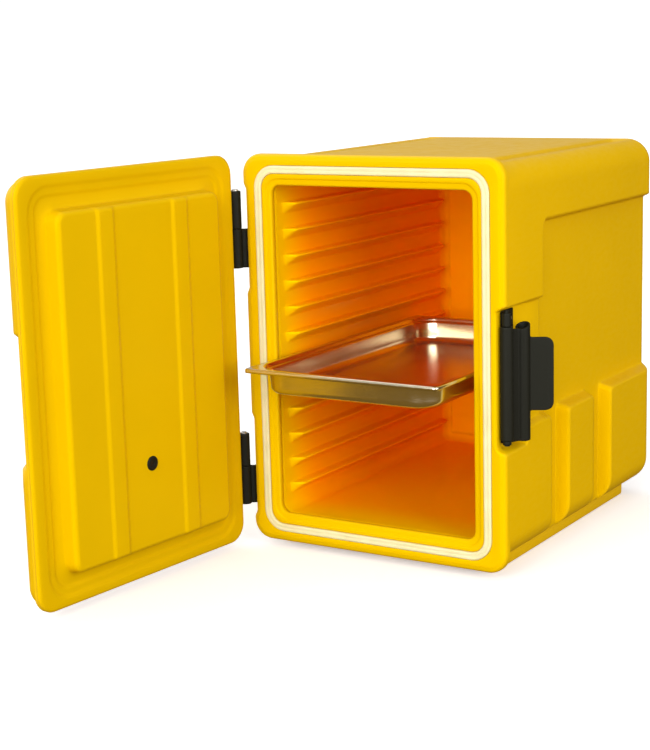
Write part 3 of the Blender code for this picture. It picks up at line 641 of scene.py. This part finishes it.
def face_grid(shape, width, height, radius, across, upward, steps, place):
    """Fills a rounded rectangle with a grid that meets the points of its outline."""
    x, z = width / 2 - radius, height / 2 - radius
    arc = [radius * math.sin(math.radians(90 * i / steps)) for i in range(1, steps + 1)]
    xs = [-x - a for a in reversed(arc)] + [x * t for t in across] + [x + a for a in arc]
    zs = [-z - a for a in reversed(arc)] + [z * t for t in upward] + [z + a for a in arc]
    rows = []
    for b in zs:
        row = []
        for a in xs:
            beyond = math.hypot(max(abs(a) - x, 0.0), max(abs(b) - z, 0.0))
            row.append(shape.verts.new(place(a, b)) if beyond <= radius + 1e-7 else None)
        rows.append(row)
    for lower, upper in zip(rows, rows[1:]):
        for i in range(len(xs) - 1):
            around = [v for v in (lower[i], lower[i + 1], upper[i + 1], upper[i]) if v]
            if len(around) >= 3:
                shape.faces.new(around)


def build_door_panel():
    """The door's inner skin: flange, seal seat, sloping plug and its ribbed field."""
    seal_w, seal_h, seal_r = SEAL
    width, height, radius = OPENING
    face = DOOR_FACE

    def flange(drawn, y):
        return (2 * (HALF_WIDTH - drawn), FRAME_HEIGHT - 2 * drawn, FRAME_RADIUS - drawn, y)

    def seat(drawn, y):
        return (seal_w + PLAY - 2 * drawn, seal_h + PLAY - 2 * drawn, seal_r + 0.002 - drawn, y)

    def plug(drawn, y):
        return (width - PLAY - 2 * drawn, height - PLAY - 2 * drawn,
                max(radius + 0.004 - drawn, 0.007), y)

    sections = [flange(0.012, DOOR_SPLIT + 0.0002), flange(0.0, DOOR_SPLIT + 0.0002),
                flange(0.0, face - 0.0040), flange(0.0006, face - 0.0025),
                flange(0.0018, face - 0.0012), flange(0.0034, face - 0.0004),
                flange(0.0054, face), flange(0.0098, face),
                seat(-0.0044, face), seat(-0.0026, face - 0.0002), seat(-0.0008, face - 0.0007),
                seat(0.0010, face - 0.0014), seat(0.0028, face - 0.0020),
                seat(0.0046, face - 0.0022), seat(0.0090, face - 0.0022),
                seat(0.0108, face - 0.0024), seat(0.0126, face - 0.0030),
                seat(0.0144, face - 0.0037), seat(0.0162, face - 0.0040),
                plug(-0.0080, face - 0.0028), plug(-0.0030, face - 0.0012),
                plug(-0.0012, face - 0.0002), plug(-0.0002, face + 0.0014)]
    ribbed = len(sections)
    for i in range(9):
        turn = math.radians(90 * i / 8)
        sections.append(plug(0.0014 + PLUG_ROUNDING * (1 - math.cos(turn)),
                             face + PLUG_HEIGHT - PLUG_ROUNDING * (1 - math.sin(turn))))
    field_w, field_h, field_r, top = sections[-1]
    marks = [side * RIB_SPREAD + half
             for side in (-1, 1) for half in (-RIB_WIDTH / 2, RIB_WIDTH / 2)]
    across = shares(stations(field_r - field_w / 2, field_w / 2 - field_r, marks,
                             0.0010, 0.012, 0.006))
    upward = shares(stations(field_r - field_h / 2, field_h / 2 - field_r, [],
                             0.0012, 0.020, 0.006))
    steps = 12
    rings = []
    for number, (w, h, r, y) in enumerate(sections):
        raised = math.sin(math.radians(90 * max(number - ribbed, 0) / 8))
        rings.append([(x, y + raised * rib_height(x), FRAME_MID + z)
                      for x, z in outline(w, h, r, across, upward, steps)])
    shape = loft(rings)
    face_grid(shape, field_w, field_h, field_r, across, upward, steps,
              lambda a, b: (a, top + rib_height(a), FRAME_MID + b))
    bmesh.ops.remove_doubles(shape, verts=shape.verts, dist=1e-5)
    piece = door_piece("door_panel", shape, FRAME_YELLOW, "door_inner_panel")
    thicken(piece, DOOR_PANEL_WALL)


def build_door_shell():
    """The door's outer skin: the flange's outer half and the raised field with its latch step."""
    step_low, step_high, step_depth = LATCH_STEP
    flange_face = DOOR_FACE - DOOR_FLANGE
    outer_face = DOOR_FACE - DOOR_THICKNESS
    upward = shares(stations(FRAME_LOW.z + 0.036, FRAME_HIGH.z - 0.036, [step_low, step_high],
                             0.0015, 0.030, 0.009))
    across = [-1 + 0.2 * i for i in range(11)]
    sections = [(0.006, DOOR_SPLIT - 0.0004), (-BULGE_INSET, DOOR_SPLIT - 0.0004),
                (-BULGE_INSET, flange_face + 0.0014),
                (-BULGE_INSET + 0.0003, flange_face + 0.0005),
                (-BULGE_INSET + 0.0010, flange_face), (-0.0012, flange_face - 0.0001),
                (-0.0005, flange_face - 0.0004), (-0.0001, flange_face - 0.0011),
                (0.0, flange_face - 0.0022), (0.0, outer_face + BULGE_ROUNDING)]
    for i in range(1, 13):
        turn = math.radians(90 * i / 12)
        sections.append((BULGE_ROUNDING * (1 - math.cos(turn)),
                         outer_face + BULGE_ROUNDING * (1 - math.sin(turn))))
    sections.append((BULGE_ROUNDING + 0.004, outer_face))
    rings = []
    for number, (drawn, y) in enumerate(sections):
        w, h = 2 * (HALF_WIDTH - BULGE_INSET - drawn), FRAME_HEIGHT - 2 * (BULGE_INSET + drawn)
        r = max(FRAME_RADIUS - max(drawn, 0.0), 0.006)
        stepped = drawn > -0.0013 and number > 0
        ring = []
        for x, z in outline(w, h, r, across, upward, 12):
            z += FRAME_MID
            if x > 0 and stepped:
                edge = box_distance((0.0, z), (-0.1, step_low - 0.003), (0.1, step_high + 0.003))
                notch = sunk(edge, step_depth, 0.014) * blend((drawn + 0.0012) / 0.0012)
                x = min(x, w / 2 - notch)
            ring.append((x, y, z))
        rings.append(ring)
    piece = door_piece("door_shell", loft(rings, end=True), SHELL_YELLOW,
                       "door_outer_shell")
    thicken(piece, DOOR_SHELL_WALL)


def build_vent():
    """The vent: a round plug with a shallow dish on the inside, and a cap on the outside."""
    x, z = VENT
    inside = DOOR_FACE + PLUG_HEIGHT
    outside = DOOR_FACE - DOOR_THICKNESS
    plug = turned([(-0.0019, 0.0003), (-0.0019, 0.0022), (-0.0021, 0.0030), (-0.0024, 0.0036),
                   (-0.0024, 0.0080), (-0.0021, 0.0094), (-0.0014, 0.0105), (-0.0007, 0.0109),
                   (0.0, 0.0108), (0.0, 0.0046), (inside - outside - 0.001, 0.0046)],
                  (x, inside, z), (0, -1, 0))
    door_piece("vent_disc", plug, BLACK, "vent_plug")
    cap = turned([(0.0, 0.0118), (0.0014, 0.0120), (0.0024, 0.0116), (0.0031, 0.0106),
                  (0.0034, 0.0090), (0.0034, 0.0050), (0.0030, 0.0040), (0.0030, 0.0004)],
                 (x, outside - 0.0015, z), (0, -1, 0))
    door_piece("vent_cover", cap, BLACK, "vent_cap")


# ---------------------------------------------------------------- hinges, latch, fasteners

def softened(node, name, body, passes=5, trim=None):
    """A black CAD part's form as one moulded piece with rounded edges and filleted corners."""
    mesh = frame["nodes"][node].data.copy()
    if trim:
        trim(mesh)
    mesh.materials.clear()
    mesh.materials.append(BLACK)
    mesh.shade_smooth()
    piece = bpy.data.objects.new(name, mesh)
    bpy.context.scene.collection.objects.link(piece)
    cells = piece.modifiers.new("cells", "REMESH")
    cells.mode = "VOXEL"
    cells.voxel_size = CELL
    cells.use_smooth_shade = True
    relax = piece.modifiers.new("relax", "SMOOTH")
    relax.factor = 0.6
    relax.iterations = passes
    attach(piece, body)
    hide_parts(node)


def slant_grip(mesh):
    """Slopes the lever's open top down towards the front, and frees its bore."""
    top = max(vertex.co.z for vertex in mesh.vertices)
    ends = [vertex for vertex in mesh.vertices if vertex.co.z > top - 0.0005]
    low, high = min(v.co.y for v in ends), max(v.co.y for v in ends)
    for vertex in ends:
        vertex.co.z -= GRIP_SLANT * (high - vertex.co.y) / (high - low)
    free_bore(mesh, "latch_pivot")


def free_bore(mesh, joint="door_hinge"):
    """Opens a knuckle's bore a little, so that once smoothed it still turns freely on its pin."""
    axis = Vector(JOINTS[joint]["pos_m"])
    for vertex in mesh.vertices:
        reach = math.hypot(vertex.co.x - axis.x, vertex.co.y - axis.y)
        if 0.0 < reach < BORE_RADIUS:
            vertex.co.x = axis.x + (vertex.co.x - axis.x) * BORE_RADIUS / reach
            vertex.co.y = axis.y + (vertex.co.y - axis.y) * BORE_RADIUS / reach


def build_fittings():
    """The hinges' leaves on body and door, the latch's bracket and its lever."""
    for level in ("upper", "lower"):
        softened(f"hinge_leaf_{level}", f"body_hinge_{level}", "carrier", trim=free_bore)
        softened(f"door_leaf_{level}", f"door_hinge_{level}", "door", trim=free_bore)
    softened("latch_base", "latch_bracket", "carrier")
    softened("latch_lever", "latch_handle", "latch", passes=7, trim=slant_grip)


def finish_cad(node, material):
    """Gives a CAD node that stays as it is its material."""
    item = frame["nodes"][node]
    item.data.materials.clear()
    item.data.materials.append(material)


# ---------------------------------------------------------------- pan

def build_pan():
    """A gastronorm 1/1 pan of thin sheet: rolled lip, flat rim, stacking shoulder and well.

    Each step of the profile is (distance inward from the lip, depth, corner radius).
    """
    width, length = PAN_HIGH.x - PAN_LOW.x, PAN_HIGH.y - PAN_LOW.y
    middle = (PAN_LOW + PAN_HIGH) / 2
    rim, depth = PAN_HIGH.z - 0.0004, PAN_HIGH.z - PAN_LOW.z - 0.0008
    profile = [(0.0006, 0.0058, 0.007), (0.0003, 0.0034, 0.007), (0.0004, 0.0016, 0.007),
               (0.0011, 0.0005, 0.007), (0.0022, 0.0, 0.007), (0.0060, 0.0, 0.015),
               (0.0100, 0.0001, 0.038), (0.0112, 0.0006, 0.041), (0.0120, 0.0018, 0.042),
               (0.0124, 0.0040, 0.042), (0.0129, 0.0052, 0.042), (0.0140, 0.0060, 0.042),
               (0.0158, 0.0064, 0.041), (0.0167, 0.0072, 0.040), (0.0172, 0.0090, 0.040),
               (0.0192, depth - 0.0120, 0.038)]
    for i in range(1, 8):
        turn = math.radians(90 * i / 7)
        profile.append((0.0192 + 0.0120 * (1 - math.cos(turn)),
                        depth - 0.0120 * (1 - math.sin(turn)), 0.038 - 0.010 * i / 7))
    profile += [(0.0360, depth, 0.025), (0.0400, depth - 0.0005, 0.022),
                (0.0470, depth - 0.0007, 0.020), (0.0900, depth - 0.0010, 0.020),
                (0.1500, depth - 0.0012, 0.008)]
    straight = [-1 + 0.125 * i for i in range(17)]
    rings = [[(middle.x + x, middle.y + y, rim - down)
              for x, y in outline(width - 2 * drawn, length - 2 * drawn, radius,
                                  straight, straight, 16)]
             for drawn, down, radius in profile]
    piece = add("food_pan", loft(rings, end=True), PAN_STEEL_PAINTED_WARM, "pan")
    thicken(piece, PAN_SHEET, 0.0)
    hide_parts("gn_pan")


# ---------------------------------------------------------------- assembly

build_carcass()
build_skids()
build_liner()
build_frame()
build_seal()
build_door_panel()
build_door_shell()
build_vent()
build_fittings()
build_pan()
for node in frame["nodes"]:
    if node == "latch_rod":
        finish_cad(node, BLACK)
    elif "screw" in node or "pin" in node:
        finish_cad(node, SCREW_STEEL)
    elif "insulation" in node:
        finish_cad(node, FOAM)


# ---------------------------------------------------------------- studio

ROOM_LIGHT, BACKDROP = 0.48, 1.05
GROUND_LIGHT, GROUND_HEIGHT = (0.22, 0.14, 0.03), -0.25     # the room fades to it from 0 to here
# Heading, height and spread in degrees, and strength; the last one takes light away
SOFT_BOXES = ((5, 14, 34, 6.3), (85, 5, 44, 1.35), (265, 40, 50, 1.25), (155, 5, 55, -0.42))
# A lamp's place, the point it faces, its size and its power
SIDE_LIGHT = ((1.75, -1.05, 0.75), (0.20, -0.15, 0.36), 0.9, 15.5)
FLOOR_SIZE, FLOOR_GLOW = 30.0, 0.35

CAMERA_PLACE = (1.2422, -2.3840, 0.7776)
CAMERA_TURN = (0.5627, 0.1972, -0.0274)     # yaw, pitch and roll in radians
CAMERA_LENS, CAMERA_SENSOR = 80.57, 36.0


def build_floor():
    """A pale floor that shows the shadow and lights nothing."""
    shape = bmesh.new()
    bmesh.ops.create_grid(shape, x_segments=2, y_segments=2, size=FLOOR_SIZE)
    material, tree, shader = nodes_of("studio_floor")
    tone = ramp(tree, noise(tree, 2.0), [(0.3, 0.88), (0.7, 0.90)])
    tree.links.new(tone, shader.inputs["Base Color"])
    tree.links.new(ramp(tree, noise(tree, 40.0), [(0.3, 0.75), (0.7, 0.85)]),
                   shader.inputs["Roughness"])
    shader.inputs["Specular IOR Level"].default_value = 0.0
    shader.inputs["Emission Color"].default_value = (1.0, 1.0, 1.0, 1.0)
    shader.inputs["Emission Strength"].default_value = FLOOR_GLOW
    mesh = bpy.data.meshes.new("studio_floor")
    shape.to_mesh(mesh)
    shape.free()
    mesh.materials.append(material)
    floor = bpy.data.objects.new("studio_floor", mesh)
    floor.visible_diffuse = floor.visible_glossy = False
    bpy.context.scene.collection.objects.link(floor)


def soft_box(tree, heading, height, spread, strength):
    """A round, soft-edged light in the world; heading 0 is the front and 90 the right side."""
    turn, rise = math.radians(heading), math.radians(height)
    place = tree.nodes.new("ShaderNodeTexCoord")
    facing = tree.nodes.new("ShaderNodeVectorMath")
    facing.operation = "DOT_PRODUCT"
    facing.inputs[1].default_value = (math.sin(turn) * math.cos(rise),
                                      -math.cos(turn) * math.cos(rise), math.sin(rise))
    edge = tree.nodes.new("ShaderNodeMapRange")
    edge.interpolation_type = "SMOOTHSTEP"
    edge.inputs["From Min"].default_value = math.cos(math.radians(spread))
    edge.inputs["From Max"].default_value = 1.0
    edge.inputs["To Min"].default_value = 0.0
    edge.inputs["To Max"].default_value = strength
    tree.links.new(place.outputs["Generated"], facing.inputs[0])
    tree.links.new(facing.outputs["Value"], edge.inputs["Value"])
    return edge.outputs["Result"]


def room_colour(tree):
    """The room: an even white with the soft boxes in it, over a warm ground."""
    total = None
    for heading, height, spread, strength in SOFT_BOXES:
        box = soft_box(tree, heading, height, spread, strength)
        node = tree.nodes.new("ShaderNodeMath")
        node.operation = "ADD"
        node.inputs[1].default_value = ROOM_LIGHT
        tree.links.new(box, node.inputs[0])
        if total:
            tree.links.new(total, node.inputs[1])
        total = node.outputs["Value"]
    place = tree.nodes.new("ShaderNodeTexCoord")
    parts = tree.nodes.new("ShaderNodeSeparateXYZ")
    horizon = tree.nodes.new("ShaderNodeMapRange")
    horizon.interpolation_type = "SMOOTHSTEP"
    horizon.inputs["From Min"].default_value = GROUND_HEIGHT
    horizon.inputs["From Max"].default_value = 0.0
    tree.links.new(place.outputs["Generated"], parts.inputs["Vector"])
    tree.links.new(parts.outputs["Z"], horizon.inputs["Value"])
    return mixed(tree, horizon.outputs["Result"], (*GROUND_LIGHT, 1.0), total)


def build_world():
    """The room lights the object, and the camera sees a plain white backdrop."""
    world = bpy.data.worlds.new("studio")
    world.use_nodes = True
    tree = world.node_tree
    room = tree.nodes["Background"]
    tree.links.new(room_colour(tree), room.inputs["Color"])
    room.inputs["Strength"].default_value = 1.0
    backdrop = tree.nodes.new("ShaderNodeBackground")
    backdrop.inputs["Color"].default_value = (1.0, 1.0, 1.0, 1.0)
    backdrop.inputs["Strength"].default_value = BACKDROP
    seen = tree.nodes.new("ShaderNodeLightPath")
    choice = tree.nodes.new("ShaderNodeMixShader")
    tree.links.new(seen.outputs["Is Camera Ray"], choice.inputs[0])
    tree.links.new(room.outputs["Background"], choice.inputs[1])
    tree.links.new(backdrop.outputs["Background"], choice.inputs[2])
    tree.links.new(choice.outputs["Shader"], tree.nodes["World Output"].inputs["Surface"])
    bpy.context.scene.world = world


def build_light():
    """A square lamp that models the right side, and how the light is shown."""
    place, target, size, power = SIDE_LIGHT
    lamp = bpy.data.lights.new("side_light", "AREA")
    lamp.size, lamp.energy = size, power
    light = bpy.data.objects.new("side_light", lamp)
    light.location = place
    light.rotation_euler = (Vector(target) - Vector(place)).to_track_quat("-Z", "Y").to_euler()
    bpy.context.scene.collection.objects.link(light)
    bpy.context.scene.view_settings.view_transform = "Standard"
    bpy.context.scene.cycles.diffuse_bounces = 10


def build_camera():
    """A long lens from the front right, a little above the carrier's top."""
    yaw, pitch, roll = CAMERA_TURN
    ahead = Vector((-math.sin(yaw) * math.cos(pitch), math.cos(yaw) * math.cos(pitch),
                    -math.sin(pitch)))
    right = Vector((math.cos(yaw), math.sin(yaw), 0.0))
    up = right.cross(ahead)
    side = right * math.cos(roll) + up * math.sin(roll)
    top = up * math.cos(roll) - right * math.sin(roll)
    lens = bpy.data.cameras.new("camera")
    lens.lens, lens.sensor_width = CAMERA_LENS, CAMERA_SENSOR
    camera = bpy.data.objects.new("camera", lens)
    camera.matrix_world = (Matrix.Translation(CAMERA_PLACE)
                           @ Matrix((side, top, -ahead)).transposed().to_4x4())
    bpy.context.scene.collection.objects.link(camera)
    bpy.context.scene.camera = camera


build_floor()
build_world()
build_light()
build_camera()
